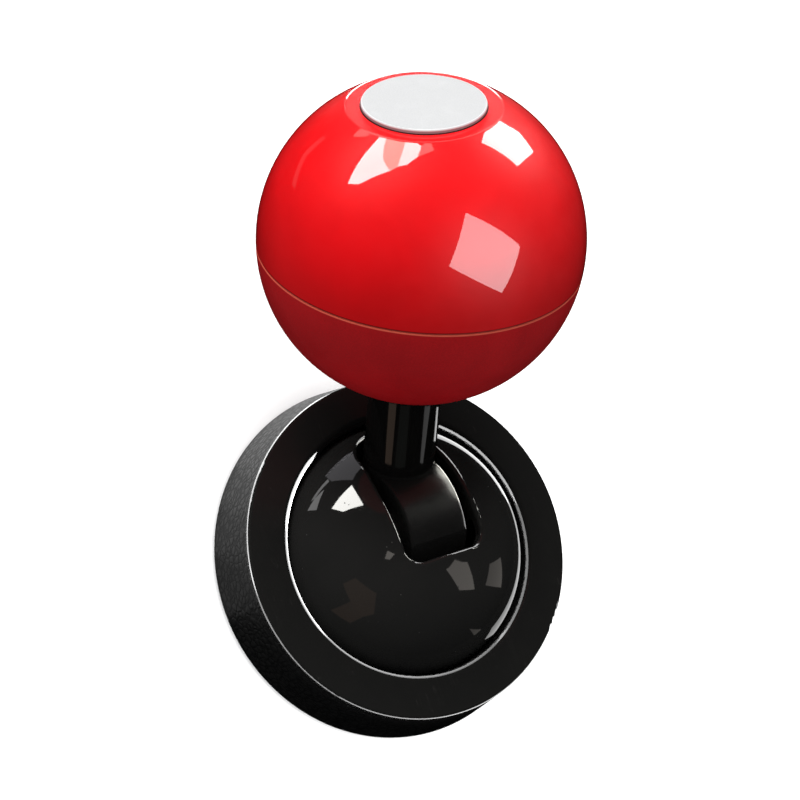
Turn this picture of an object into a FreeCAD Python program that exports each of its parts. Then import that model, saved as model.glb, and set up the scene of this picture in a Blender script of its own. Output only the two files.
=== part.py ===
import FreeCAD, Part
import math
import os

from FreeCAD import Vector

# Pull-down joystick cover for a push button: a ball handle on a leaning lever,
# a drum-shaped hub that turns on a cross pin under a slotted dome, and a sprung
# plunger that the hub's cam pushes out of the back.  Millimetres.
# +Z is the outward normal of the base, the lever leans towards +Y, and the
# origin is the centre of the adhesive face that sticks to the panel.

# Base
TAPE_THICKNESS = 0.8
TAPE_RADIUS = 21.5
BASE_RADIUS = 21.9
FACE_RADIUS = 20.4
FACE_Z = 9.4
MOUTH_RADIUS = 15.4
RIM_ROUND = 0.4
MOUTH_ROUND = 0.9
RING_FOOT_CHAMFER = 0.25
SHOULDER_Z = 6.3
POCKET_RADIUS = 18.6
RECESS_RADIUS = 15.5
RECESS_DEPTH = 2.4

# Dome
DOME_CENTRE_Z = 2.2
DOME_RADIUS = 16.1
DOME_WALL = 1.4
DOME_FOOT_RADIUS = 15.2
FLANGE_THICKNESS = 1.3
SLOT_WIDTH = 10.0
SLOT_LOW_Y = -2.8
SLOT_CORNER = 2.0
SLOT_LIP_ROUND = 0.4
SLOT_NECK_RADIUS = 4.55
SLOT_NECK_BEHIND = 0.7
SLOT_TAPER_START = 4.0

# Lever
LEAN_DEG = 41.0
SWING_DEG = 55.0
BALL_RADIUS = 17.5
BALL_DISTANCE = 43.8
STICK_RADIUS = 4.2
STICK_BORE = 3.0
STICK_FOOT = 15.2
STICK_TOP = 30.6
STUD_RADIUS = 1.5
STUD_FOOT = 10.2
STUD_TOP = 35.4

# Hub, cam and pivot
PLUNGER_TRAVEL = 2.4
CAM_RADIUS = PLUNGER_TRAVEL / math.radians(SWING_DEG)
PIVOT_Y = CAM_RADIUS
PIVOT_Z = 10.0
DRUM_RADIUS = 7.3
HUB_WIDTH = 7.4
HUB_EDGE_ROUND = 0.3
TONGUE_END_Y = -0.7
BROW_AHEAD = 1.9
BROW_RISE = 4.5
BOTTOM_Z = 7.8
CAM_REST_DEPTH = 2.5
CAM_BEFORE_REST = 0.14
CAM_PAST_END = 0.08
CAM_STEPS = 8
BUSH_RADIUS = 1.6
BUSH_FLANGE_RADIUS = 2.3
BUSH_SEAT_DEPTH = 1.8
PIN_RADIUS = 1.0
PIN_HALF_LENGTH = 7.7
EAR_INNER_X = 5.05
EAR_OUTER_X = 6.75
RUNNING_CLEARANCE = 0.03

# Plunger
PLUNGER_TOP_Z = 7.4
PLUNGER_FLANGE_RADIUS = 9.6
PLUNGER_FLANGE = 1.0
PLUNGER_RADIUS = 7.05
PLUNGER_FOOT_Z = 3.8
GUIDE_RADIUS = 7.15
PAD_RADIUS = 6.6
PAD_FACE_Z = 2.6
WEB_THICKNESS = 1.0
WIRE_RADIUS = 0.25
SPRING_FOOT_RADIUS = 10.2
SPRING_TOP_RADIUS = 8.2
SPRING_TURNS = 2.75
ARCS_PER_TURN = 8

# Ball
SHELL_WALL = 2.2
SEAM_DROP = 0.85
SEAM_CHAMFER = 0.12
LAP_HEIGHT = 1.2
FLAT_HEIGHT = 15.6
FLAT_EDGE_ROUND = 0.5
BADGE_TILT_DEG = 4.8
BADGE_RADIUS = 6.4
BADGE_THICKNESS = 0.5
BADGE_BEVEL = 0.2
BADGE_TAPE = 0.15
INSERT_RADIUS = 3.5
INSERT_FOOT = 31.2
INSERT_TOP = 40.5
CAP_SCREW_RADIUS = 1.25
CAP_HEAD_RADIUS = 2.5
CAP_SEAT_HEIGHT = 13.2

# Fasteners of the base
COVER_SCREWS = 4
COVER_SCREW_CIRCLE = 17.05
COVER_SHANK_RADIUS = 0.75
COVER_HEAD_RADIUS = 1.3
COVER_HEAD_HEIGHT = 0.9
COVER_SCREW_TIP_Z = 8.5

FIT = 0.05

LEAN = math.radians(LEAN_DEG)
X_AXIS = Vector(1, 0, 0)
Y_AXIS = Vector(0, 1, 0)
Z_AXIS = Vector(0, 0, 1)


def rod(radius, z_low, z_high, x=0.0, y=0.0):
    return Part.makeCylinder(radius, z_high - z_low, Vector(x, y, z_low))


def sleeve(outer, inner, z_low, z_high):
    return rod(outer, z_low, z_high).cut(rod(inner, z_low - 1, z_high + 1))


def cross_rod(radius, x_low, x_high, y=PIVOT_Y, z=PIVOT_Z):
    return Part.makeCylinder(radius, x_high - x_low, Vector(x_low, y, z), X_AXIS)


def block(x_low, x_high, y_low, y_high, z_low, z_high):
    corner = Vector(x_low, y_low, z_low)
    return Part.makeBox(x_high - x_low, y_high - y_low, z_high - z_low, corner)


def turned(outline):
    """Revolve a closed (radius, z) outline about the Z axis."""
    points = [Vector(radius, 0, z) for radius, z in outline]
    wire = Part.makePolygon(points + points[:1])
    return Part.Face(wire).revolve(Vector(0, 0, 0), Z_AXIS, 360)


def circle_edges(shape, radius, z):
    """Full or partial circles of one radius that lie at one height."""
    found = []
    for edge in shape.Edges:
        if edge.Degenerated or not isinstance(edge.Curve, Part.Circle):
            continue
        level = abs(edge.Curve.Center.z - z) < 1e-3
        size = abs(edge.Curve.Radius - radius) < 1e-3
        if level and size:
            found.append(edge)
    return found


def upright_edges(shape, y):
    """Edges of an upright block that run along Z at one y."""
    found = []
    for edge in shape.Edges:
        start, finish = [vertex.Point for vertex in edge.Vertexes]
        upright = abs(start.z - finish.z) > 1e-6
        if upright and abs(start.y - y) < 1e-6:
            found.append(edge)
    return found


def on_lever(shape):
    """Stand a shape drawn along +Z on the leaning lever axis."""
    placed = shape.copy()
    placed.rotate(Vector(0, 0, 0), X_AXIS, -LEAN_DEG)
    placed.translate(Vector(0, 0, DOME_CENTRE_Z))
    return placed


def at_badge(shape):
    """Turn a shape drawn along +Z about the ball's centre to where the badge sits."""
    turned_shape = shape.copy()
    turned_shape.rotate(Vector(0, 0, BALL_DISTANCE), Y_AXIS, -BADGE_TILT_DEG)
    return turned_shape


def in_ball(height):
    """Distance along the lever axis of a height above the ball's centre."""
    return BALL_DISTANCE + height


def screw_places():
    step = 360.0 / COVER_SCREWS
    for number in range(COVER_SCREWS):
        angle = math.radians(45 + step * number)
        yield COVER_SCREW_CIRCLE * math.cos(angle), COVER_SCREW_CIRCLE * math.sin(angle)


def cross_recess(x, y, z_low, z_high, span, width):
    one = block(x - span, x + span, y - width, y + width, z_low, z_high)
    other = block(x - width, x + width, y - span, y + span, z_low, z_high)
    return one.fuse(other)


# ---------------------------------------------------------------- base

def base_ring():
    ring = turned([
        (MOUTH_RADIUS, SHOULDER_Z),
        (MOUTH_RADIUS, FACE_Z),
        (FACE_RADIUS, FACE_Z),
        (BASE_RADIUS, TAPE_THICKNESS),
        (POCKET_RADIUS, TAPE_THICKNESS),
        (POCKET_RADIUS, SHOULDER_Z),
    ])
    ring = ring.makeFillet(RIM_ROUND, circle_edges(ring, FACE_RADIUS, FACE_Z))
    ring = ring.makeFillet(MOUTH_ROUND, circle_edges(ring, MOUTH_RADIUS, FACE_Z))
    ring = ring.makeChamfer(RING_FOOT_CHAMFER, circle_edges(ring, BASE_RADIUS, TAPE_THICKNESS))
    for x, y in screw_places():
        ring = ring.cut(rod(COVER_SHANK_RADIUS, SHOULDER_Z - 1, COVER_SCREW_TIP_Z, x, y))
    return ring


def dome_ball(radius):
    return Part.makeSphere(radius, Vector(0, 0, DOME_CENTRE_Z))


def lever_slot():
    """Slot from just past the crown down the +Y side, drawn in around the leaning stick."""
    half = SLOT_WIDTH / 2
    reach = 1.5 * DOME_RADIUS
    foot = block(-half, half, SLOT_LOW_Y, 5, SHOULDER_Z, reach)
    foot = foot.makeFillet(SLOT_CORNER, upright_edges(foot, SLOT_LOW_Y))
    outline = [
        (-half, -SLOT_TAPER_START - 5),
        (-half, -SLOT_TAPER_START),
        (-SLOT_NECK_RADIUS, SLOT_NECK_BEHIND),
        (SLOT_NECK_RADIUS, SLOT_NECK_BEHIND),
        (half, -SLOT_TAPER_START),
        (half, -SLOT_TAPER_START - 5),
    ]
    low = DOME_RADIUS / 4
    points = [Vector(x, y, low) for x, y in outline]
    wire = Part.makePolygon(points + points[:1])
    taper = Part.Face(wire).extrude(Vector(0, 0, reach - low))
    neck = rod(SLOT_NECK_RADIUS, low, reach, 0, SLOT_NECK_BEHIND)
    return foot.fuse(on_lever(taper)).fuse(on_lever(neck))


def pivot_ear(side):
    """Ear under the dome with a snap seat for the pin, open towards the base."""
    low, high = sorted((side * EAR_INNER_X, side * EAR_OUTER_X))
    half = BUSH_FLANGE_RADIUS
    ear = cross_rod(half, low, high)
    ear = ear.fuse(block(low, high, PIVOT_Y - half, PIVOT_Y + half, PIVOT_Z, 30))
    ear = ear.common(dome_ball(DOME_RADIUS - DOME_WALL / 2))
    seat = cross_rod(PIN_RADIUS + RUNNING_CLEARANCE, low, high)
    throat = 0.85 * PIN_RADIUS
    mouth = 1.5 * PIN_RADIUS
    bottom = PIVOT_Z - half - 0.5
    gate = Part.makePolygon([
        Vector(low, PIVOT_Y - throat, PIVOT_Z),
        Vector(low, PIVOT_Y + throat, PIVOT_Z),
        Vector(low, PIVOT_Y + throat, PIVOT_Z - 1.5 * PIN_RADIUS),
        Vector(low, PIVOT_Y + mouth, bottom),
        Vector(low, PIVOT_Y - mouth, bottom),
        Vector(low, PIVOT_Y - throat, PIVOT_Z - 1.5 * PIN_RADIUS),
        Vector(low, PIVOT_Y - throat, PIVOT_Z),
    ])
    gate = Part.Face(gate).extrude(Vector(high - low, 0, 0))
    return ear.cut(seat.fuse(gate))


def dome_cover():
    foot_z = SHOULDER_Z - FLANGE_THICKNESS
    inner_radius = DOME_RADIUS - DOME_WALL
    throat = DOME_FOOT_RADIUS - DOME_WALL
    shell = dome_ball(DOME_RADIUS).common(rod(DOME_FOOT_RADIUS, foot_z, 30))
    hollow = dome_ball(inner_radius).common(rod(throat, foot_z - 1, 30))
    shell = shell.cut(hollow).cut(lever_slot())
    lip = []
    for edge in shell.Edges:
        middle = edge.valueAt((edge.FirstParameter + edge.LastParameter) / 2)
        inside = abs(middle.x) < SLOT_WIDTH / 2 + 0.01
        spread = (middle - Vector(0, 0, DOME_CENTRE_Z)).Length
        above = middle.z > FACE_Z
        if inside and above and abs(spread - DOME_RADIUS) < 0.01:
            lip.append(edge)
    shell = shell.makeFillet(SLOT_LIP_ROUND, lip)
    flange = sleeve(POCKET_RADIUS - FIT, throat, foot_z, SHOULDER_Z)
    cover = shell.fuse(flange)
    for side in (-1, 1):
        cover = cover.fuse(pivot_ear(side))
    for x, y in screw_places():
        cover = cover.cut(rod(COVER_SHANK_RADIUS, foot_z - 1, SHOULDER_Z + 1, x, y))
    return cover.removeSplitter()


def guide_plate():
    top = SHOULDER_Z - FLANGE_THICKNESS
    web_top = RECESS_DEPTH + WEB_THICKNESS
    plate = sleeve(POCKET_RADIUS - FIT, RECESS_RADIUS, TAPE_THICKNESS, top)
    plate = plate.fuse(sleeve(RECESS_RADIUS + 0.5, GUIDE_RADIUS, RECESS_DEPTH, web_top))
    plate = plate.fuse(sleeve(GUIDE_RADIUS + 0.8, GUIDE_RADIUS, RECESS_DEPTH, web_top + 0.4))
    seat_z = TAPE_THICKNESS + 0.1 + COVER_HEAD_HEIGHT
    for x, y in screw_places():
        plate = plate.cut(rod(COVER_SHANK_RADIUS, 0, top + 1, x, y))
        plate = plate.cut(rod(COVER_HEAD_RADIUS + FIT, 0, seat_z, x, y))
    return plate.removeSplitter()


def cover_screws():
    head_z = TAPE_THICKNESS + 0.1
    seat_z = head_z + COVER_HEAD_HEIGHT
    screws = []
    for x, y in screw_places():
        screw = rod(COVER_HEAD_RADIUS, head_z, seat_z, x, y)
        screw = screw.fuse(rod(COVER_SHANK_RADIUS, seat_z, COVER_SCREW_TIP_Z, x, y))
        drive = cross_recess(x, y, head_z - 1, head_z + 0.5, 0.8, 0.15)
        screws.append(screw.cut(drive).removeSplitter())
    return Part.makeCompound(screws)


def adhesive_ring():
    return sleeve(TAPE_RADIUS, RECESS_RADIUS, 0, TAPE_THICKNESS)


# ---------------------------------------------------------------- plunger

def plunger():
    flange_z = PLUNGER_TOP_Z - PLUNGER_FLANGE
    body = rod(PLUNGER_FLANGE_RADIUS, flange_z, PLUNGER_TOP_Z)
    body = body.fuse(rod(PLUNGER_RADIUS, PLUNGER_FOOT_Z, flange_z + 0.1))
    pocket = sleeve(PLUNGER_RADIUS - 1.2, 2.0, PLUNGER_FOOT_Z - 1, flange_z)
    ribs = cross_recess(0, 0, PLUNGER_FOOT_Z, flange_z, PLUNGER_RADIUS - 0.6, 0.5)
    return body.cut(pocket.cut(ribs)).removeSplitter()


def plunger_pad():
    pad = rod(PAD_RADIUS, PAD_FACE_Z, PLUNGER_FOOT_Z)
    for radius in (2.6, 4.6):
        pad = pad.cut(sleeve(radius + 0.35, radius, PAD_FACE_Z - 1, PAD_FACE_Z + 0.3))
    return pad.makeFillet(0.3, circle_edges(pad, PAD_RADIUS, PAD_FACE_Z))


def spring_point(part):
    """Centre of the spring's wire, from its foot at 0 to its top at 1."""
    low = RECESS_DEPTH + WEB_THICKNESS + WIRE_RADIUS + 0.03
    high = PLUNGER_TOP_Z - PLUNGER_FLANGE - WIRE_RADIUS - 0.03
    angle = 2 * math.pi * SPRING_TURNS * part
    radius = SPRING_FOOT_RADIUS + (SPRING_TOP_RADIUS - SPRING_FOOT_RADIUS) * part
    height = low + (high - low) * part
    return Vector(radius * math.cos(angle), radius * math.sin(angle), height)


def plunger_spring():
    """Conical spring whose turns nest flat between the guide plate and the flange."""
    count = round(SPRING_TURNS * ARCS_PER_TURN)
    arcs = []
    for number in range(count):
        ends = [spring_point((number + step) / count) for step in (0, 0.5, 1)]
        arcs.append(Part.Arc(*ends).toShape())
    start = spring_point(0)
    section = Part.makeCircle(WIRE_RADIUS, start, spring_point(0.001) - start)
    return Part.Wire(arcs).makePipeShell([Part.Wire(section)], True, False)


# ---------------------------------------------------------------- pivot

def pivot_pin():
    pin = cross_rod(PIN_RADIUS, -PIN_HALF_LENGTH, PIN_HALF_LENGTH)
    pin = pin.makeChamfer(0.15, pin.Edges[0:1] + pin.Edges[2:3])
    for side in (-1, 1):
        low, high = sorted((side * (EAR_OUTER_X + 0.05), side * (EAR_OUTER_X + 0.45)))
        groove = cross_rod(PIN_RADIUS + 1, low, high).cut(cross_rod(0.7, low, high))
        pin = pin.cut(groove)
    return pin


def pin_clips():
    clips = []
    for side in (-1, 1):
        low, high = sorted((side * (EAR_OUTER_X + 0.07), side * (EAR_OUTER_X + 0.43)))
        clip = cross_rod(1.9, low, high).cut(cross_rod(0.72, low, high))
        gap = block(low, high, PIVOT_Y - 0.6, PIVOT_Y + 0.6, PIVOT_Z - 3, PIVOT_Z)
        clips.append(clip.cut(gap))
    return Part.makeCompound(clips)


def hub_bushes():
    half = HUB_WIDTH / 2
    bushes = []
    for side in (-1, 1):
        low, high = sorted((side * (half - BUSH_SEAT_DEPTH), side * half))
        bush = cross_rod(BUSH_RADIUS, low, high)
        low, high = sorted((side * half, side * (EAR_INNER_X - 0.1)))
        bush = bush.fuse(cross_rod(BUSH_FLANGE_RADIUS, low, high))
        bore = cross_rod(PIN_RADIUS + RUNNING_CLEARANCE, -EAR_INNER_X, EAR_INNER_X)
        bushes.append(bush.cut(bore).removeSplitter())
    return Part.makeCompound(bushes)


# ---------------------------------------------------------------- lever

def cam_point(turn):
    """Point of the hub's cam that touches the plunger after the lever turns."""
    depth = CAM_REST_DEPTH + CAM_RADIUS * turn
    across = -CAM_RADIUS * math.cos(turn) - depth * math.sin(turn)
    up = CAM_RADIUS * math.sin(turn) - depth * math.cos(turn)
    return Vector(-HUB_WIDTH / 2, PIVOT_Y + across, PIVOT_Z + up)


def drum_point(angle):
    """Point on the drum at an angle from +Z towards -Y about the pivot."""
    across = -DRUM_RADIUS * math.sin(angle)
    return Vector(-HUB_WIDTH / 2, PIVOT_Y + across, PIVOT_Z + DRUM_RADIUS * math.cos(angle))


def hub_body():
    """Drum around the pivot with the cam on its lower front, as one extrusion."""
    side_x = -HUB_WIDTH / 2
    front = math.asin((PIVOT_Y - TONGUE_END_Y) / DRUM_RADIUS)
    back = -math.acos((BOTTOM_Z - PIVOT_Z) / DRUM_RADIUS)
    crown = Part.Arc(drum_point(front), drum_point((front + back) / 2), drum_point(back))
    swing = math.radians(SWING_DEG)
    span = CAM_BEFORE_REST + swing + CAM_PAST_END
    turns = [span * step / CAM_STEPS - CAM_BEFORE_REST for step in range(CAM_STEPS + 1)]
    cam_line = Part.BSplineCurve()
    cam_line.interpolate([cam_point(turn) for turn in turns])
    heel = Vector(side_x, PIVOT_Y, BOTTOM_Z)
    brow = Vector(side_x, TONGUE_END_Y - BROW_AHEAD, PIVOT_Z + BROW_RISE)
    edges = [
        crown.toShape(),
        Part.makeLine(drum_point(back), heel),
        Part.makeLine(heel, cam_point(turns[0])),
        cam_line.toShape(),
        Part.makeLine(cam_point(turns[-1]), brow),
        Part.makeLine(brow, drum_point(front)),
    ]
    body = Part.Face(Part.Wire(edges)).extrude(Vector(HUB_WIDTH, 0, 0))
    soft = []
    for edge in body.Edges:
        middle = edge.valueAt((edge.FirstParameter + edge.LastParameter) / 2)
        on_drum = abs(math.hypot(middle.y - PIVOT_Y, middle.z - PIVOT_Z) - DRUM_RADIUS) < 0.01
        on_brow = abs(middle.y - TONGUE_END_Y) < 0.01 and abs(middle.x) < 0.1
        if (on_drum and middle.z > BOTTOM_Z + 1) or on_brow:
            soft.append(edge)
    return body.makeFillet(HUB_EDGE_ROUND, soft)


def lever_hub():
    boss = on_lever(rod(STICK_RADIUS, STUD_FOOT - 0.5, STICK_FOOT))
    spigot = on_lever(rod(STICK_BORE - FIT, STICK_FOOT - 0.5, STICK_FOOT + 1.0))
    room = block(-10, 10, -10, 30, BOTTOM_Z, 40)
    hub = hub_body().fuse(boss.common(room)).fuse(spigot)
    half = HUB_WIDTH / 2
    for side in (-1, 1):
        low, high = sorted((side * (half - BUSH_SEAT_DEPTH), side * (half + 1)))
        hub = hub.cut(cross_rod(BUSH_RADIUS, low, high))
    hub = hub.cut(cross_rod(PIN_RADIUS + 0.25, -half, half))
    hub = hub.cut(on_lever(rod(STUD_RADIUS, STUD_FOOT, STICK_FOOT + 2)))
    return hub.removeSplitter()


def lever_stud():
    stud = rod(STUD_RADIUS, STUD_FOOT, STUD_TOP)
    stud = stud.makeChamfer(0.3, circle_edges(stud, STUD_RADIUS, STUD_TOP))
    return on_lever(stud)


def stick_tube():
    return on_lever(sleeve(STICK_RADIUS, STICK_BORE, STICK_FOOT, STICK_TOP))


def lock_washer():
    return on_lever(sleeve(STICK_RADIUS - 0.1, STUD_RADIUS + 0.1, STICK_TOP, INSERT_FOOT))


def ball_insert():
    insert = rod(INSERT_RADIUS, INSERT_FOOT, INSERT_TOP)
    for step in range(1, 4):
        level = INSERT_FOOT + step * (INSERT_TOP - INSERT_FOOT) / 4
        insert = insert.cut(sleeve(INSERT_RADIUS + 1, INSERT_RADIUS - 0.4, level, level + 0.8))
    insert = insert.cut(rod(STUD_RADIUS, INSERT_FOOT - 1, STUD_TOP + 0.1))
    insert = insert.cut(rod(CAP_SCREW_RADIUS, STUD_TOP + 0.4, INSERT_TOP + 1))
    return on_lever(insert)


def ball_shape(radius):
    return Part.makeSphere(radius, Vector(0, 0, BALL_DISTANCE))


def ball_lower_shell():
    seam = in_ball(-SEAM_DROP)
    floor = in_ball(-BALL_RADIUS - 1)
    inner = BALL_RADIUS - SHELL_WALL
    lap = BALL_RADIUS - SHELL_WALL / 2
    shell = ball_shape(BALL_RADIUS).common(rod(BALL_RADIUS + 1, floor, seam))
    edge_radius = math.sqrt(BALL_RADIUS ** 2 - SEAM_DROP ** 2)
    shell = shell.makeChamfer(SEAM_CHAMFER, circle_edges(shell, edge_radius, seam))
    shell = shell.fuse(rod(lap - FIT, seam - 1, seam + LAP_HEIGHT))
    core = rod(BALL_RADIUS, floor, seam + LAP_HEIGHT + 1).common(ball_shape(inner))
    chimney = rod(INSERT_RADIUS + 2.2, floor, INSERT_TOP)
    shell = shell.cut(core).fuse(chimney.common(ball_shape(BALL_RADIUS - 1)))
    shell = shell.cut(rod(STICK_RADIUS + FIT, floor, INSERT_FOOT))
    shell = shell.cut(rod(INSERT_RADIUS, INSERT_FOOT - 1, INSERT_TOP + 1))
    mouth_radius = STICK_RADIUS + FIT
    mouth_z = in_ball(-math.sqrt(BALL_RADIUS ** 2 - mouth_radius ** 2))
    mouth = circle_edges(shell, mouth_radius, mouth_z)
    return on_lever(shell.makeFillet(0.3, mouth).removeSplitter())


def flatted_ball():
    """Whole ball with the badge's flat and shallow seat on it."""
    flat = in_ball(FLAT_HEIGHT)
    ball = ball_shape(BALL_RADIUS)
    ball = ball.common(rod(BALL_RADIUS + 1, in_ball(-BALL_RADIUS - 1), flat))
    flat_radius = math.sqrt(BALL_RADIUS ** 2 - FLAT_HEIGHT ** 2)
    ball = ball.makeFillet(FLAT_EDGE_ROUND, circle_edges(ball, flat_radius, flat))
    return at_badge(ball.cut(rod(BADGE_RADIUS, flat - BADGE_TAPE, flat + 1)))


def ball_upper_shell():
    seam = in_ball(-SEAM_DROP)
    crown = in_ball(BALL_RADIUS)
    inner = BALL_RADIUS - SHELL_WALL
    lap = BALL_RADIUS - SHELL_WALL / 2
    shell = flatted_ball().common(rod(BALL_RADIUS + 1, seam, crown))
    edge_radius = math.sqrt(BALL_RADIUS ** 2 - SEAM_DROP ** 2)
    shell = shell.makeChamfer(SEAM_CHAMFER, circle_edges(shell, edge_radius, seam))
    hollow = ball_shape(inner).common(rod(BALL_RADIUS, seam - 1, in_ball(CAP_SEAT_HEIGHT - 1)))
    hollow = hollow.fuse(rod(lap, seam - 1, seam + LAP_HEIGHT + 0.1))
    post = rod(INSERT_RADIUS + 0.6, INSERT_TOP, in_ball(CAP_SEAT_HEIGHT))
    shell = shell.cut(hollow).fuse(post)
    shell = shell.cut(rod(CAP_SCREW_RADIUS + FIT, INSERT_TOP - 1, crown))
    shell = shell.cut(rod(CAP_HEAD_RADIUS + FIT, in_ball(CAP_SEAT_HEIGHT), crown))
    return on_lever(shell.removeSplitter())


def cap_screw():
    seat = in_ball(CAP_SEAT_HEIGHT)
    head_top = seat + 1.7
    screw = rod(CAP_HEAD_RADIUS, seat, head_top)
    screw = screw.fuse(rod(CAP_SCREW_RADIUS, STUD_TOP + 0.7, seat))
    drive = cross_recess(0, 0, head_top - 0.9, head_top + 1, 1.6, 0.3)
    return on_lever(screw.cut(drive).removeSplitter())


def badge_tape():
    flat = in_ball(FLAT_HEIGHT)
    return on_lever(at_badge(rod(BADGE_RADIUS - 0.2, flat - BADGE_TAPE, flat)))


def badge_disc():
    flat = in_ball(FLAT_HEIGHT)
    top = flat + BADGE_THICKNESS
    disc = rod(BADGE_RADIUS - FIT, flat, top)
    disc = disc.makeFillet(BADGE_BEVEL, circle_edges(disc, BADGE_RADIUS - FIT, top))
    return on_lever(at_badge(disc))


NODES = {
    "base_ring": base_ring,
    "dome_cover": dome_cover,
    "guide_plate": guide_plate,
    "cover_screws": cover_screws,
    "adhesive_ring": adhesive_ring,
    "plunger": plunger,
    "plunger_pad": plunger_pad,
    "plunger_spring": plunger_spring,
    "pivot_pin": pivot_pin,
    "pin_clips": pin_clips,
    "hub_bushes": hub_bushes,
    "lever_hub": lever_hub,
    "lever_stud": lever_stud,
    "stick_tube": stick_tube,
    "lock_washer": lock_washer,
    "ball_insert": ball_insert,
    "ball_lower_shell": ball_lower_shell,
    "ball_upper_shell": ball_upper_shell,
    "cap_screw": cap_screw,
    "badge_tape": badge_tape,
    "badge_disc": badge_disc,
}


def main():
    os.makedirs("parts", exist_ok=True)
    for name, make in NODES.items():
        make().exportStep("parts/" + name + ".step")


main()
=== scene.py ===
import math

import bpy
from mathutils import Matrix, Vector

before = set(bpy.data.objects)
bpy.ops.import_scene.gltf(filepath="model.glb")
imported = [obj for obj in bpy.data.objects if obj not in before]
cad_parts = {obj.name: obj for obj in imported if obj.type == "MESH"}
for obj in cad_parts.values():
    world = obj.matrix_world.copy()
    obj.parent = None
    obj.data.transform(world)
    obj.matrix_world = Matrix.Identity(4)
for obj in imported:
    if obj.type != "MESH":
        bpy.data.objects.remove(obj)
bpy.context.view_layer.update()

MM = 0.001
MICRON = 1e-6

# At rest the lever leans from Z toward Y, and its axis goes through the dome's centre
LEAN = math.radians(41.0)
DOME_CENTRE = Vector((0, 0, 2.2)) * MM
LEVER_AXIS = Vector((0, math.sin(LEAN), math.cos(LEAN)))
BALL_DISTANCE = 43.8 * MM
BALL_CENTRE = DOME_CENTRE + LEVER_AXIS * BALL_DISTANCE
SEAM = BALL_DISTANCE - 0.85 * MM

# The badge's axis goes through the ball's centre, turned about Y from the lever's axis.
# Its foot and top are heights above the ball's centre.
BADGE_TILT = math.radians(4.8)
BADGE_RADIUS = 6.4 * MM
BADGE_FOOT = 15.6 * MM
BADGE_TOP = 16.1 * MM

# Height where the ring's leather grain ends, and the radii of its face's two edges
GRAIN_TOP = 8.8 * MM
MOUTH_EDGE = 16.3 * MM
OUTER_EDGE = 20.0 * MM

# Size of the floor and distance of the far cards, in metres
FLOOR_REACH = 30.0
CARD_REACH = 1.2

# Degrees between the joints of a curved card
STRIP_STEP = 6

# Strength of the dim world light, and what is added where the camera sees it
WORLD_GLOW = 0.37
BACKDROP_GLOW = 0.8

# A ray's depth is 1 in a first reflection and 2 in a reflection of a reflection
FIRST_REFLECTION = 1.5

WHITE = (1, 1, 1)
WINDOW_WHITE = (1, 0.96, 0.94)
LAMP_WHITE = (1, 0.99, 0.90)
GREY = (1, 0.93, 0.86)
BROWN = (1, 0.62, 0.42)
STEEL_DARK = (0.38, 0.38, 0.39, 1)
STEEL_LIGHT = (0.62, 0.62, 0.63, 1)

scene = bpy.context.scene


# ---------------------------------------------------------------- camera

def add_camera():
    """The camera that was fitted to the photo's view of the ball, the ring and the stick."""
    data = bpy.data.cameras.new("camera")
    data.lens = 67.5
    data.sensor_width = 36.0
    data.shift_x = 0.012
    data.shift_y = 0.0065
    data.clip_start = 10 * MM
    data.clip_end = 20.0
    camera = bpy.data.objects.new("camera", data)
    scene.collection.objects.link(camera)
    place = Vector((-79.46, -9.62, 168.99)) * MM
    aim = Vector((-1.954, 15.057, 19.705)) * MM
    back = (place - aim).normalized()
    upward = Vector((0.23294, 0.93277, 0.27511))
    right = upward.cross(back).normalized()
    up = back.cross(right)
    turn = Matrix((right, up, back)).transposed().to_4x4()
    camera.matrix_world = Matrix.Translation(place) @ turn
    scene.camera = camera


# ---------------------------------------------------------------- material nodes

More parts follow.
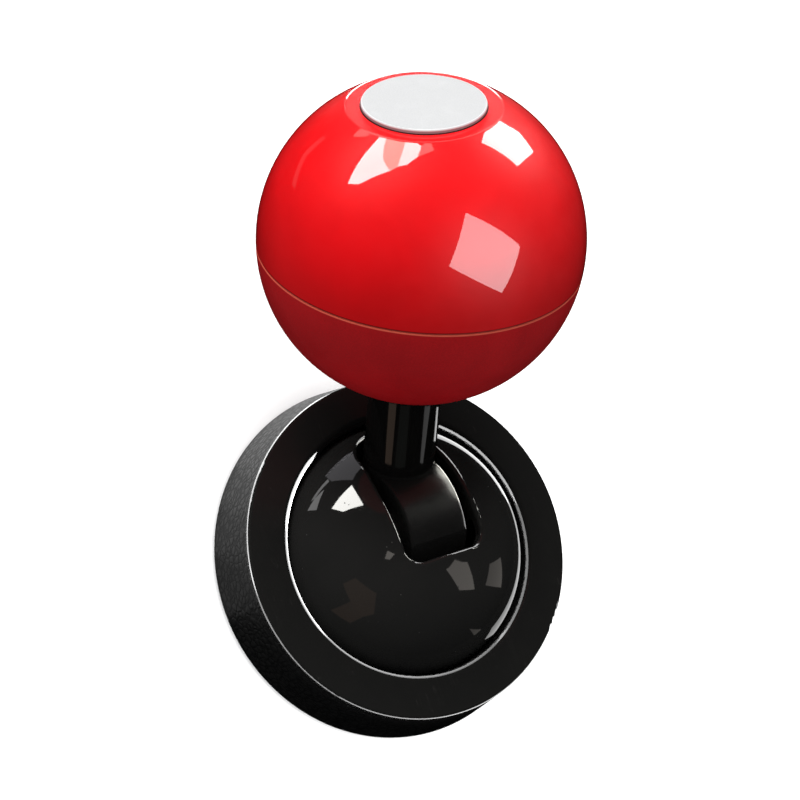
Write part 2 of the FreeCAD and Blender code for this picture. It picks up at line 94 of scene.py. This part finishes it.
class Finish:
    """A material's node tree, with short calls for the nodes that the finishes share."""

    def __init__(self, name, **constants):
        self.material = bpy.data.materials.new(name)
        self.material.use_nodes = True
        self.tree = self.material.node_tree
        self.tree.nodes.clear()
        output = self.tree.nodes.new("ShaderNodeOutputMaterial")
        self.shader = self.tree.nodes.new("ShaderNodeBsdfPrincipled")
        self.tree.links.new(self.shader.outputs[0], output.inputs[0])
        for key, value in constants.items():
            self.shader.inputs[key.replace("_", " ")].default_value = value
        self.place = self.node("ShaderNodeTexCoord").outputs["Object"]

    def node(self, kind, **settings):
        made = self.tree.nodes.new(kind)
        for key, value in settings.items():
            setattr(made, key, value)
        return made

    def feed(self, socket, value):
        if isinstance(value, bpy.types.NodeSocket):
            self.tree.links.new(value, socket)
        else:
            socket.default_value = value

    def noise(self, size, detail=2.0, roughness=0.5, distortion=0.0, at=None):
        made = self.node("ShaderNodeTexNoise")
        self.feed(made.inputs["Vector"], at or self.place)
        self.feed(made.inputs["Scale"], 1.0 / size)
        self.feed(made.inputs["Detail"], detail)
        self.feed(made.inputs["Roughness"], roughness)
        self.feed(made.inputs["Distortion"], distortion)
        return made.outputs[0]

    def cells(self, size, feature="F1", at=None):
        made = self.node("ShaderNodeTexVoronoi", feature=feature)
        self.feed(made.inputs["Vector"], at or self.place)
        self.feed(made.inputs["Scale"], 1.0 / size)
        return made.outputs["Distance"]

    def maths(self, operation, first, second=0.0):
        made = self.node("ShaderNodeMath", operation=operation)
        self.feed(made.inputs[0], first)
        self.feed(made.inputs[1], second)
        return made.outputs[0]

    def spread(self, value, low, high, out_low=0.0, out_high=1.0):
        """A smooth step from one output to the other as the value goes from low to high."""
        made = self.node("ShaderNodeMapRange", interpolation_type="SMOOTHSTEP")
        for number, item in enumerate((value, low, high, out_low, out_high)):
            self.feed(made.inputs[number], item)
        return made.outputs[0]

    def blend(self, share, first, second):
        made = self.node("ShaderNodeMix", data_type="RGBA")
        self.feed(made.inputs[0], share)
        self.feed(made.inputs[6], first)
        self.feed(made.inputs[7], second)
        return made.outputs[2]

    def mix(self, share, first, second):
        made = self.node("ShaderNodeMix", data_type="FLOAT")
        self.feed(made.inputs[0], share)
        self.feed(made.inputs[2], first)
        self.feed(made.inputs[3], second)
        return made.outputs[0]

    def warped(self, size, reach):
        """The place, pushed about by a noise of the given size."""
        wander = self.node("ShaderNodeTexNoise")
        self.feed(wander.inputs["Vector"], self.place)
        self.feed(wander.inputs["Scale"], 1.0 / size)
        bend = self.node("ShaderNodeVectorMath", operation="SCALE")
        self.feed(bend.inputs[0], wander.outputs["Color"])
        self.feed(bend.inputs["Scale"], reach)
        shifted = self.node("ShaderNodeVectorMath", operation="ADD")
        self.feed(shifted.inputs[0], self.place)
        self.feed(shifted.inputs[1], bend.outputs[0])
        return shifted.outputs[0]

    def part_of(self, vector, axis):
        """A vector's X, Y or Z, for axis 0, 1 or 2."""
        made = self.node("ShaderNodeSeparateXYZ")
        self.feed(made.inputs[0], vector)
        return made.outputs[axis]

    def radius(self, vector):
        """Distance from the Z axis of a vector's point."""
        flat = self.node("ShaderNodeVectorMath", operation="MULTIPLY")
        self.feed(flat.inputs[0], vector)
        self.feed(flat.inputs[1], (1, 1, 0))
        length = self.node("ShaderNodeVectorMath", operation="LENGTH")
        self.feed(length.inputs[0], flat.outputs[0])
        return length.outputs["Value"]

    def mapped(self, scale, turn=(0, 0, 0), at=None):
        """Coordinates turned and scaled; a scale below 1 stretches a texture along that axis."""
        made = self.node("ShaderNodeMapping")
        self.feed(made.inputs["Vector"], at or self.place)
        self.feed(made.inputs["Rotation"], turn)
        self.feed(made.inputs["Scale"], scale)
        return made.outputs[0]

    def on_lever(self):
        """Place measured from the dome's centre, with Z along the lever."""
        made = self.node("ShaderNodeMapping", vector_type="TEXTURE")
        self.feed(made.inputs["Vector"], self.place)
        self.feed(made.inputs["Location"], tuple(DOME_CENTRE))
        self.feed(made.inputs["Rotation"], (-LEAN, 0, 0))
        return made.outputs[0]

    def on_badge(self):
        """Place measured from the ball's centre, with Z along the badge's axis."""
        across = -BALL_DISTANCE * math.sin(BADGE_TILT)
        along = -BALL_DISTANCE * math.cos(BADGE_TILT)
        made = self.node("ShaderNodeMapping")
        self.feed(made.inputs["Vector"], self.on_lever())
        self.feed(made.inputs["Rotation"], (0, BADGE_TILT, 0))
        self.feed(made.inputs["Location"], (across, 0, along))
        return made.outputs[0]

    def colour(self, value):
        self.feed(self.shader.inputs["Base Color"], value)

    def rough(self, value):
        self.feed(self.shader.inputs["Roughness"], value)

    def bump(self, *layers):
        """Layers of (height, depth in metres), the first one the lowest."""
        normal = None
        for height, depth in layers:
            made = self.node("ShaderNodeBump")
            self.feed(made.inputs["Strength"], 1.0)
            self.feed(made.inputs["Distance"], depth)
            self.feed(made.inputs["Height"], height)
            if normal is not None:
                self.feed(made.inputs["Normal"], normal)
            normal = made.outputs[0]
        self.feed(self.shader.inputs["Normal"], normal)


def scratches(finish, width, angles):
    """Fine straight scratches, as thin bands of noise stretched along each angle."""
    stretch = 0.035
    middle, half_band = 0.5, 0.004
    total = 0.0
    for number, angle in enumerate(angles):
        at = finish.mapped((1, stretch, 1), (0, 0, math.radians(angle)))
        line = finish.noise(width * (6 + number), 1.0, 0.3, 0.0, at)
        off = finish.maths("ABSOLUTE", finish.maths("SUBTRACT", line, middle))
        band = finish.spread(off, half_band, 0.0)
        gate = finish.spread(finish.noise(2.6 * MM, 1.0), 0.56, 0.62)
        total = finish.maths("ADD", total, finish.maths("MULTIPLY", band, gate))
    return finish.maths("MINIMUM", total, 1.0)


# ---------------------------------------------------------------- finishes

def ring_finish():
    """Near-black plastic: satin face, polished rims and a leather-grained side wall, painted darker
    in its creases as painted shade.
    """
    f = Finish("ring_black_plastic", Specular_IOR_Level=0.3)
    height = f.part_of(f.place, 2)
    side = f.spread(height, GRAIN_TOP + 0.18 * MM, GRAIN_TOP)
    reach = f.radius(f.place)
    mouth_rim = f.spread(reach, MOUTH_EDGE + 0.05 * MM, MOUTH_EDGE - 0.05 * MM)
    outer_rim = f.spread(reach, OUTER_EDGE - 0.05 * MM, OUTER_EDGE + 0.02 * MM)
    rim = f.maths("MAXIMUM", mouth_rim, outer_rim)
    warp = f.warped(0.8 * MM, 0.45 * MM)
    pebble_size = 0.85 * MM
    pebbles = f.cells(pebble_size, "SMOOTH_F1", warp)
    creases = f.spread(f.cells(pebble_size, "DISTANCE_TO_EDGE", warp), 0.0, 0.22)
    leather = f.maths("SUBTRACT", creases, f.maths("MULTIPLY", pebbles, 0.7))
    grain = f.maths("MULTIPLY", leather, side)
    fine = f.noise(0.11 * MM, 3.0, 0.6)
    marks = scratches(f, 0.1 * MM, (17, 74, 128))
    marks = f.maths("MULTIPLY", marks, f.maths("SUBTRACT", 1.0, side))
    cloud = f.noise(3.2 * MM, 4.0, 0.6)
    face_tone = f.blend(cloud, (0.0092, 0.0092, 0.0088, 1), (0.0118, 0.0115, 0.0108, 1))
    # Painted shade: the side wall's colour is darker in the grain's creases.
    side_tone = f.blend(creases, (0.006, 0.006, 0.006, 1), (0.0115, 0.0115, 0.0112, 1))
    tone = f.blend(side, face_tone, side_tone)
    f.colour(f.blend(marks, tone, (0.020, 0.019, 0.018, 1)))
    satin = f.spread(f.noise(1.7 * MM, 5.0, 0.65), 0.3, 0.7, 0.17, 0.23)
    satin = f.mix(rim, satin, 0.09)
    worn = f.mix(side, satin, f.spread(grain, -0.4, 0.9, 0.52, 0.40))
    f.rough(f.maths("ADD", worn, f.maths("MULTIPLY", marks, 0.04)))
    f.bump((grain, 50 * MICRON), (fine, 0.4 * MICRON), (marks, -0.4 * MICRON))
    return f.material


def dome_finish():
    """Polished black plastic with the slight waves and dust of a moulded part."""
    f = Finish("dome_gloss_black", Specular_IOR_Level=0.5)
    wave = f.noise(4.5 * MM, 1.0, 0.4)
    ripple = f.noise(0.5 * MM, 2.0, 0.5)
    dust = f.spread(f.cells(1.3 * MM), 0.075, 0.03)
    dust = f.maths("MULTIPLY", dust, f.spread(f.noise(4 * MM, 2.0), 0.48, 0.62))
    tone = f.blend(f.noise(6 * MM, 3.0), (0.0150, 0.0148, 0.0142, 1), (0.0200, 0.0195, 0.0185, 1))
    f.colour(f.blend(dust, tone, (0.06, 0.058, 0.055, 1)))
    smear = f.spread(f.noise(3.5 * MM, 5.0, 0.7, 0.8), 0.35, 0.75, 0.03, 0.06)
    f.rough(f.maths("ADD", smear, f.maths("MULTIPLY", dust, 0.4)))
    f.bump((wave, 4 * MICRON), (ripple, 0.25 * MICRON), (dust, 4 * MICRON))
    return f.material


def hub_finish():
    """Black hub with a fine, even spark texture."""
    f = Finish("hub_black_plastic", Specular_IOR_Level=0.5)
    grit = f.noise(0.16 * MM, 4.0, 0.7)
    coarse = f.noise(0.5 * MM, 3.0, 0.6)
    f.colour(f.blend(coarse, (0.0095, 0.0095, 0.0092, 1), (0.0160, 0.0155, 0.0148, 1)))
    f.rough(f.spread(grit, 0.25, 0.75, 0.17, 0.27))
    f.bump((coarse, 5 * MICRON), (grit, 3 * MICRON))
    return f.material


def stick_finish():
    """Polished black tube, drawn lengthwise, with fine lines along the lever."""
    f = Finish("stick_gloss_black", Specular_IOR_Level=0.6)
    along = f.on_lever()
    drawn = f.mapped((1, 1, 0.03), (0, 0, 0), along)
    lines = f.noise(0.22 * MM, 3.0, 0.6, 0.0, drawn)
    f.colour(f.blend(lines, (0.003, 0.003, 0.003, 1), (0.009, 0.0085, 0.008, 1)))
    f.rough(f.spread(lines, 0.3, 0.7, 0.05, 0.12))
    f.bump((lines, 1.2 * MICRON), (f.noise(2.5 * MM, 1.0, 0.4), 3 * MICRON))
    return f.material


def shell_finish(name, deep, bright, seam_line_and_highlight, grain, rough, **constants):
    """Dyed plastic, uneven in tone, with a coloured line along the seam (a painted highlight on the
    lower shell) and a painted shadow round the badge.
    """
    f = Finish(name, **constants)
    along = f.on_lever()
    cloud = f.noise(9 * MM, 3.0, 0.55, 0.4, along)
    fine = f.noise(0.16 * MM, 3.0, 0.6, 0.0, along)
    share = f.mix(grain, cloud, fine)
    tone = f.blend(f.spread(share, 0.3, 0.7), deep, bright)
    # Within 0.23 mm of the seam the colour is the seam line's: a dark line on the upper shell and a
    # painted highlight on the lower.
    edge = f.maths("ABSOLUTE", f.maths("SUBTRACT", f.part_of(along, 2), SEAM))
    tone = f.blend(f.spread(edge, 0.23 * MM, 0.19 * MM), tone, seam_line_and_highlight)
    # Painted shadow: a dark red ring just round the badge, near its foot, where shade falls in its
    # recess.
    near = f.on_badge()
    painted_badge_shadow = f.spread(f.radius(near), BADGE_RADIUS + 0.09 * MM, BADGE_RADIUS + 0.03 * MM)
    on_top = f.spread(f.part_of(near, 2), BADGE_FOOT - 0.6 * MM, BADGE_FOOT - 0.4 * MM)
    painted_badge_shadow = f.maths("MULTIPLY", painted_badge_shadow, on_top)
    f.colour(f.blend(painted_badge_shadow, tone, (0.03, 0.002, 0.003, 1)))
    f.rough(f.spread(f.noise(2.0 * MM, 5.0, 0.65, 0.5, along), 0.3, 0.75, *rough))
    wave = f.noise(6 * MM, 1.0, 0.4, 0.0, along)
    ripple = f.noise(0.4 * MM, 2.0, 0.5)
    f.bump((wave, 3 * MICRON), (ripple, 0.1 * MICRON))
    return f.material


def badge_finish():
    """Satin silver disc with fine flecks, a painted highlight on its bevelled edge, painted shade on
    its side and a painted shadow where it meets the shell.
    """
    f = Finish("badge_satin_silver", Metallic=0.3, Specular_IOR_Level=0.5)
    along = f.on_badge()
    fleck = f.noise(0.12 * MM, 4.0, 0.75, 0.0, along)
    cloud = f.noise(2.2 * MM, 3.0, 0.6, 0.6, along)
    tone = f.blend(f.spread(fleck, 0.3, 0.7), (0.60, 0.603, 0.606, 1), (0.70, 0.702, 0.704, 1))
    tone = f.blend(f.spread(cloud, 0.45, 0.8, 0.0, 0.35), tone, (0.75, 0.75, 0.752, 1))
    reach, height = f.radius(along), f.part_of(along, 2)
    # Painted highlight: a thin band at the rim of the top, painted near white.
    painted_bevel_highlight = f.spread(reach, BADGE_RADIUS - 0.24 * MM, BADGE_RADIUS - 0.17 * MM)
    # The side below the top is painted grey as painted shade, and near black at its foot as painted
    # shadow.
    below = f.spread(height, BADGE_TOP - 0.15 * MM, BADGE_TOP - 0.23 * MM)
    foot = f.spread(height, BADGE_FOOT + 0.10 * MM, BADGE_FOOT + 0.03 * MM)
    tone = f.blend(painted_bevel_highlight, tone, (0.97, 0.97, 0.97, 1))
    side = f.blend(foot, (0.38, 0.60, 0.62, 1), (0.006, 0.005, 0.005, 1))
    f.colour(f.blend(below, tone, side))
    f.rough(f.spread(fleck, 0.3, 0.7, 0.30, 0.44))
    f.bump((fleck, 2.0 * MICRON), (cloud, 2.5 * MICRON))
    return f.material


def foam_finish():
    """Closed-cell foam tape, its cells open where it was cut, their hollows painted darker as painted
    shade.
    """
    f = Finish("foam_tape_grey", Specular_IOR_Level=0.3)
    cell = f.cells(0.16 * MM, "DISTANCE_TO_EDGE")
    wall = f.spread(cell, 0.0, 0.12)
    # Painted shade: the hollows of the cells are darker than their walls.
    tone = f.blend(wall, (0.055, 0.055, 0.058, 1), (0.022, 0.022, 0.024, 1))
    f.colour(f.blend(f.noise(2 * MM, 3.0), tone, (0.030, 0.030, 0.032, 1)))
    f.rough(f.spread(wall, 0.0, 1.0, 0.75, 0.92))
    f.bump((wall, -40 * MICRON))
    return f.material


def moulded_finish(name, dark, light, low, high, grit_size=0.2, depth=5, **constants):
    """Moulded plastic or rubber with a fine grit and slow changes of tone."""
    f = Finish(name, **constants)
    grit = f.noise(grit_size * MM, 4.0, 0.65)
    cloud = f.noise(2.5 * MM, 3.0, 0.6)
    f.colour(f.blend(f.maths("MULTIPLY", f.maths("ADD", grit, cloud), 0.5), dark, light))
    f.rough(f.spread(cloud, 0.3, 0.7, low, high))
    f.bump((grit, depth * MICRON))
    return f.material


def metal_finish(name, dark, light, low, high, stretch, **constants):
    """Machined or drawn metal, with fine tool lines along one axis."""
    f = Finish(name, Metallic=1.0, **constants)
    drawn = f.mapped(stretch)
    lines = f.noise(0.09 * MM, 3.0, 0.6, 0.0, drawn)
    stain = f.noise(1.1 * MM, 4.0, 0.6, 0.4)
    f.colour(f.blend(f.maths("MULTIPLY", f.maths("ADD", lines, stain), 0.5), dark, light))
    f.rough(f.spread(stain, 0.3, 0.7, low, high))
    f.bump((lines, 2 * MICRON))
    return f.material


def paint_frame():
    """Give each CAD node its material."""
    ring = ring_finish()
    inner = moulded_finish(
        "inner_black_plastic", (0.008, 0.008, 0.008, 1), (0.018, 0.018, 0.018, 1), 0.38, 0.55)
    steel = metal_finish("screw_zinc_steel", STEEL_DARK, STEEL_LIGHT, 0.22, 0.38, (1, 1, 0.1))
    pin = metal_finish("pin_ground_steel", STEEL_DARK, STEEL_LIGHT, 0.12, 0.25, (1, 0.05, 0.05))
    spring = metal_finish(
        "spring_music_wire", (0.20, 0.19, 0.19, 1), (0.42, 0.41, 0.40, 1), 0.22, 0.4, (1, 1, 0.3))
    brass = metal_finish(
        "insert_brass", (0.55, 0.36, 0.12, 1), (0.80, 0.58, 0.25, 1), 0.18, 0.35, (1, 1, 0.1))
    nylon = moulded_finish(
        "bush_natural_nylon", (0.62, 0.60, 0.53, 1), (0.78, 0.76, 0.70, 1), 0.35, 0.5,
        Subsurface_Weight=0.15, Subsurface_Radius=(0.0006, 0.0006, 0.0005), Subsurface_Scale=1.0)
    plunger = moulded_finish(
        "plunger_black_nylon", (0.012, 0.012, 0.012, 1), (0.026, 0.026, 0.026, 1), 0.35, 0.5)
    rubber = moulded_finish(
        "pad_grey_rubber", (0.030, 0.030, 0.031, 1), (0.055, 0.055, 0.056, 1), 0.62, 0.8,
        0.12, 9, Sheen_Weight=0.1)
    tape = moulded_finish(
        "badge_tape_white", (0.62, 0.61, 0.58, 1), (0.75, 0.74, 0.72, 1), 0.6, 0.8)
    # The third colour of each shell is its seam line: a painted highlight on the lower shell, a dark
    # line on the upper.
    lower = shell_finish(
        "ball_lower_red", (0.52, 0.005, 0.009, 1), (0.71, 0.008, 0.013, 1), (0.90, 0.13, 0.08, 1),
        0.5, (0.42, 0.55),
        Specular_IOR_Level=0.15, Coat_Weight=0.1, Coat_Roughness=0.2)
    upper = shell_finish(
        "ball_upper_red", (0.76, 0.0012, 0.0040, 1), (0.86, 0.0018, 0.0052, 1),
        (0.30, 0.0008, 0.002, 1), 0.12, (0.42, 0.52),
        Specular_IOR_Level=0.12, Coat_Weight=1.0, Coat_Roughness=0.012)
    finishes = {
        "base_ring": ring,
        "dome_cover": dome_finish(),
        "guide_plate": inner,
        "cover_screws": steel,
        "adhesive_ring": foam_finish(),
        "plunger": plunger,
        "plunger_pad": rubber,
        "plunger_spring": spring,
        "pivot_pin": pin,
        "pin_clips": spring,
        "hub_bushes": nylon,
        "lever_hub": hub_finish(),
        "lever_stud": steel,
        "stick_tube": stick_finish(),
        "lock_washer": spring,
        "ball_insert": brass,
        "ball_lower_shell": lower,
        "ball_upper_shell": upper,
        "cap_screw": steel,
        "badge_tape": tape,
        "badge_disc": badge_finish(),
    }
    for name, material in finishes.items():
        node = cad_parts[name]
        node.data.materials.clear()
        node.data.materials.append(material)


# ---------------------------------------------------------------- floor and lights

def direction(azimuth, elevation):
    """Unit vector for an azimuth from X and an elevation above the floor, in degrees."""
    a, e = math.radians(azimuth), math.radians(elevation)
    return Vector((math.cos(a) * math.cos(e), math.sin(a) * math.cos(e), math.sin(e)))


def add_mesh(name, points, faces, material):
    mesh = bpy.data.meshes.new(name)
    mesh.from_pydata([tuple(p) for p in points], [], faces)
    mesh.materials.append(material)
    made = bpy.data.objects.new(name, mesh)
    scene.collection.objects.link(made)
    return made


def add_floor():
    """A wide pale floor that reaches the horizon, where the white background takes over."""
    f = Finish("floor_pale", Specular_IOR_Level=0.2)
    f.colour(f.blend(f.noise(40 * MM, 3.0), (0.80, 0.80, 0.80, 1), (0.83, 0.83, 0.825, 1)))
    f.rough(f.spread(f.noise(3 * MM, 3.0), 0.3, 0.7, 0.65, 0.8))
    corners = [(x * FLOOR_REACH, y * FLOOR_REACH, 0) for x, y in ((-1, -1), (1, -1), (1, 1), (-1, 1))]
    floor = add_mesh("floor", corners, [(0, 1, 2, 3)], f.material)
    floor.visible_glossy = False
    floor.visible_diffuse = False
    floor.visible_shadow = False
    return floor


def lit_only(lamp, receivers):
    """Keep a lamp or card to its receivers, which are objects or names of nodes."""
    group = bpy.data.collections.new(lamp.name + "_on")
    for item in receivers:
        group.objects.link(item if isinstance(item, bpy.types.Object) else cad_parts[item])
    lamp.light_linking.receiver_collection = group


def add_sun(name, azimuth, elevation, strength, spread, receivers):
    """Soft light from one direction that gives shading but no highlight of its own."""
    data = bpy.data.lights.new(name, "SUN")
    data.energy = strength
    data.angle = math.radians(spread)
    lamp = bpy.data.objects.new(name, data)
    scene.collection.objects.link(lamp)
    lamp.rotation_mode = "QUATERNION"
    lamp.rotation_quaternion = direction(azimuth, elevation).to_track_quat("Z", "Y")
    lamp.visible_glossy = False
    lit_only(lamp, receivers)


def card_material(name, colour, strength):
    """A glow that shows in a first reflection but not in a reflection of a reflection."""
    material = bpy.data.materials.new(name)
    material.use_nodes = True
    tree = material.node_tree
    tree.nodes.clear()
    output = tree.nodes.new("ShaderNodeOutputMaterial")
    glow = tree.nodes.new("ShaderNodeEmission")
    glow.inputs["Color"].default_value = (*colour, 1)
    depth = tree.nodes.new("ShaderNodeLightPath").outputs["Ray Depth"]
    first = tree.nodes.new("ShaderNodeMath")
    first.operation = "LESS_THAN"
    first.inputs[1].default_value = FIRST_REFLECTION
    power = tree.nodes.new("ShaderNodeMath")
    power.operation = "MULTIPLY"
    power.inputs[1].default_value = strength
    tree.links.new(depth, first.inputs[0])
    tree.links.new(first.outputs[0], power.inputs[0])
    tree.links.new(power.outputs[0], glow.inputs["Strength"])
    clear = tree.nodes.new("ShaderNodeBsdfTransparent")
    both = tree.nodes.new("ShaderNodeAddShader")
    tree.links.new(glow.outputs[0], both.inputs[0])
    tree.links.new(clear.outputs[0], both.inputs[1])
    tree.links.new(both.outputs[0], output.inputs[0])
    return material


def hide_card(card, receivers):
    """Let a card show only in the reflections of its receivers."""
    card.visible_camera = False
    card.visible_diffuse = False
    card.visible_shadow = False
    card.visible_transmission = False
    lit_only(card, receivers)


def add_card(name, points, strength, receivers, colour=WHITE):
    """A flat reflector card with the given corners."""
    outline = tuple(range(len(points)))
    card = add_mesh(name, points, [outline], card_material(name, colour, strength))
    hide_card(card, receivers)


def far_card(name, corners, strength, receivers, colour=WHITE):
    """A card across the room, its corners given as directions in degrees from the ball."""
    points = [BALL_CENTRE + direction(*corner) * CARD_REACH for corner in corners]
    add_card(name, points, strength, receivers, colour)


def near_card(name, corners, strength, receivers, colour=WHITE):
    """A card close to the object, its corners given in mm."""
    add_card(name, [Vector(corner) * MM for corner in corners], strength, receivers, colour)


def strip_card(name, first, last, low, high, strength, receivers):
    """A curved card around Z, between two (radius, height) circles in mm, pointed at its ends."""
    count = max(2, round((last - first) / STRIP_STEP))
    middle = [(a + b) / 2 for a, b in zip(low, high)]
    points = []
    for edge in (low, high):
        for number in range(count + 1):
            radius, height = middle if number in (0, count) else edge
            across = direction(first + (last - first) * number / count, 0) * radius
            points.append((across + Vector((0, 0, height))) * MM)
    faces = [(n, n + 1, count + 2 + n, count + 1 + n) for n in range(count)]
    card = add_mesh(name, points, faces, card_material(name, WHITE, strength))
    hide_card(card, receivers)


def add_world():
    """A dim, even light, with a white background that only the camera sees."""
    world = bpy.data.worlds.new("studio")
    scene.world = world
    world.use_nodes = True
    tree = world.node_tree
    shade = tree.nodes["Background"]
    shade.inputs["Color"].default_value = (0.96, 0.98, 1.0, 1)
    seen = tree.nodes.new("ShaderNodeLightPath").outputs["Is Camera Ray"]
    power = tree.nodes.new("ShaderNodeMath")
    power.operation = "MULTIPLY_ADD"
    power.inputs[1].default_value = BACKDROP_GLOW
    power.inputs[2].default_value = WORLD_GLOW
    tree.links.new(seen, power.inputs[0])
    tree.links.new(power.outputs[0], shade.inputs["Strength"])
    world.cycles_visibility.glossy = False


def light_ball():
    """Cards for the window shapes on the ball, the flat round the badge and the badge."""
    upper, badge = ["ball_upper_shell"], ["badge_disc"]
    far_card("window_left", [
        (103, 21), (139, 16), (140, 24), (127, 41), (120, 33), (106, 25)],
        20.0, upper, WINDOW_WHITE)
    far_card("window_left_inner", [
        (100, 36), (95, 45), (104, 49), (116, 48), (121, 44)], 20.0, upper, WINDOW_WHITE)
    far_card("window_left_curtain", [
        (104, 22), (100, 36), (121, 44), (127, 41), (120, 33), (106, 25)],
        10.0, upper, (1, 0.80, 0.68))
    far_card("window_left_end", [
        (95, 45), (104, 49), (87, 50), (87, 45)], 5.0, upper, (1, 0.6, 0.55))
    far_card("window_right", [
        (40, 13), (47, 40), (20, 35), (22, 12), (31, 9)],
        18.0, upper, WINDOW_WHITE)
    far_card("window_front", [
        (-57, 84), (-112, 51), (-65, 27), (-36, 41)], 7.6, upper, (1, 0.96, 0.98))
    far_card("streak_left", [
        (104, -19), (110, -28), (125, -30), (130, -26), (113, -24),
        (107, -15)], 0.35, upper, (1, 0.8, 0.8))
    far_card("flat_front", [(45, 2), (108, 4), (108, 13), (45, 11)], 2.5, upper, (1, 0.85, 0.8))
    far_card("flat_back_left", [(60, -17), (73, -17), (75, -32), (60, -32)], 12.0, upper)
    far_card("flat_back_right", [(44, -13), (55, -13), (55, -28), (42, -28)], 12.0, upper)
    far_card("badge_card", [(35, -30), (95, -30), (95, 15), (35, 15)], 0.5, badge)


def light_ring():
    """Curved cards for the bright lines along the ring's two rims."""
    ring = ["base_ring"]
    rim = (20.75, 8.9), (21.15, 9.4)
    strip_card("rim_strip_left", 99, 181, *rim, 24.0, ring)
    strip_card("rim_strip_near", 169, 324, *rim, 11.0, ring)
    mouth = (15.25, 8.8), (14.95, 9.45)
    strip_card("mouth_strip_left", 118, 158, (15.3, 8.5), (14.85, 10.0), 28.0, ring)
    strip_card("mouth_strip_side", 146, 208, (15.25, 8.7), (14.9, 9.7), 13.0, ring)
    strip_card("mouth_strip_near", 196, 306, *mouth, 6.5, ring)
    strip_card("mouth_strip_right", 294, 368, *mouth, 8.5, ring)
    strip_card("mouth_strip_back", 2, 81, *mouth, 20.0, ring)


def light_dome():
    """Cards for the window shapes and the grey and brown patches in the dome."""
    dome = ["dome_cover"]
    strip_card("foot_strip_back", 4, 66, (15.3, 8.2), (15.5, 10.0), 1.8, dome)
    strip_card("foot_strip_right", -68, 12, (15.3, 7.8), (15.5, 9.4), 0.9, dome)
    far_card("dome_window", [(131, 11), (108, 15), (120, 36), (132, 22)],
             22.0, dome, (1, 0.99, 0.95))
    far_card("dome_low_right", [
        (4, 23), (6, 17), (13, 15), (18, 19), (33, 4), (36, 8), (20, 35), (4, 40)],
        16.0, dome, (1, 0.99, 0.93))
    far_card("dome_low_back", [(40, 5), (75, 5), (75, 35), (40, 35)], 9.0, dome)
    near_card("dome_faint_left", [
        (-13.1, 8.7, 10), (-11.8, 10, 10.6), (-10.4, 10.7, 11.5), (-12.5, 8.4, 11.4)],
        2.6, dome)
    near_card("dome_faint_streak", [
        (-12.3, 9.8, 10.1), (-9.2, 11.9, 11.2), (-9.3, 11.5, 11.6), (-11.8, 10, 10.6)],
        2.2, dome)
    far_card("dome_haze", [
        (80, -42), (78, -28), (88, 3),
        (104, 12), (110, -4), (99, -32)], 0.9, dome, (0.96, 0.94, 1.0))
    far_card("dome_grey_front", [
        (-56, 54), (-41, 50), (-34, 39), (-46, 20), (-57, 32)], 1.5, dome, GREY)
    far_card("dome_grey_right", [
        (-38, 11), (-26, 14), (-19, 0), (-30, -11)], 0.7, dome, GREY)
    far_card("dome_grey_low", [(-57, -7), (-48, -19), (-48, -29)], 0.4, dome, GREY)
    far_card("dome_grey_left", [
        (-168, 59), (-179, 64), (-166, 68), (-162, 62)], 2.0, dome, GREY)
    far_card("dome_brown", [
        (-167, 17), (-166, 29), (-142, 34), (-132, 18), (-137, 10),
        (-152, 13)], 0.22, dome, BROWN)
    far_card("dome_brown_low", [
        (-155, -7), (-152, 13), (-137, 10), (-140, -2)], 0.2, dome, BROWN)


def light_lever():
    """Cards for the hub's lit edge and the long reflections in the stick."""
    hub, stick = ["lever_hub"], ["stick_tube"]
    far_card("hub_card", [(-8, 34), (26, 34), (22, 50), (-6, 50)], 8.0, hub, (1, 0.99, 0.92))
    near_card("hub_edge_high", [
        (4.4, 8, 14), (4.4, 8, 17.4), (4.4, 2.5, 18.3), (4.4, 2.5, 14)], 9.0, hub, LAMP_WHITE)
    near_card("hub_edge_low", [
        (4.4, 2.5, 14), (4.4, 2.5, 18.3), (4.4, -0.8, 18), (4.4, -0.8, 14)], 2.5, hub)
    near_card("hub_glow", [
        (4.7, 10.1, 15.3), (5.5, 8.1, 17.8), (5.3, 5.5, 19.4), (4.8, 3.1, 19.9),
        (4.4, 5.4, 19.4), (4.4, 7.6, 18.3), (4.2, 8.8, 17.1)], 9.0, hub, LAMP_WHITE)
    near_card("stick_brown", [
        (-7.7, 12.6, 20.9), (-6.5, 11, 22.6), (-6.2, 4.6, 15.5), (-7.3, 5.8, 14)],
        0.42, stick, (1, 0.72, 0.55))
    near_card("stick_dim", [
        (-5.6, 10.1, 23.2), (-3, 9, 24.3), (-2.4, 3.2, 17.7), (-5.4, 4.3, 16.6)],
        0.06, stick, (0.9, 1, 0.9))
    near_card("stick_grey", [
        (2.2, 8.8, 24), (4.1, 9.5, 23.1), (3.7, 4.1, 17), (2.7, 3.7, 17.6)],
        0.55, stick)
    near_card("stick_edge", [
        (4.3, 11.8, 21.6), (4.7, 12.2, 20.9), (4.8, 9.4, 16.7), (4.5, 8.9, 17.5)],
        2.0, stick)


def light_side_wall():
    """Overlapping cards just above the floor, whose light on the side wall fades in four steps."""
    for number, last in enumerate((138, 152, 168, 188)):
        height = 0.3 + 0.02 * number
        name = "floor_bounce_%d" % number
        strip_card(name, 64, last, (22.3, height), (70, height), 0.34, ["base_ring"])


def light_studio(floor):
    """The world, one sun on every piece, one on the floor, and the cards."""
    add_world()
    add_sun("key", 96.5, 44, 4.4, 50, list(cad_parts))
    add_sun("overhead", 60, 80, 7.0, 120, [floor])
    light_ball()
    light_ring()
    light_dome()
    light_lever()
    light_side_wall()


scene.view_settings.view_transform = "Standard"
add_camera()
paint_frame()
light_studio(add_floor())
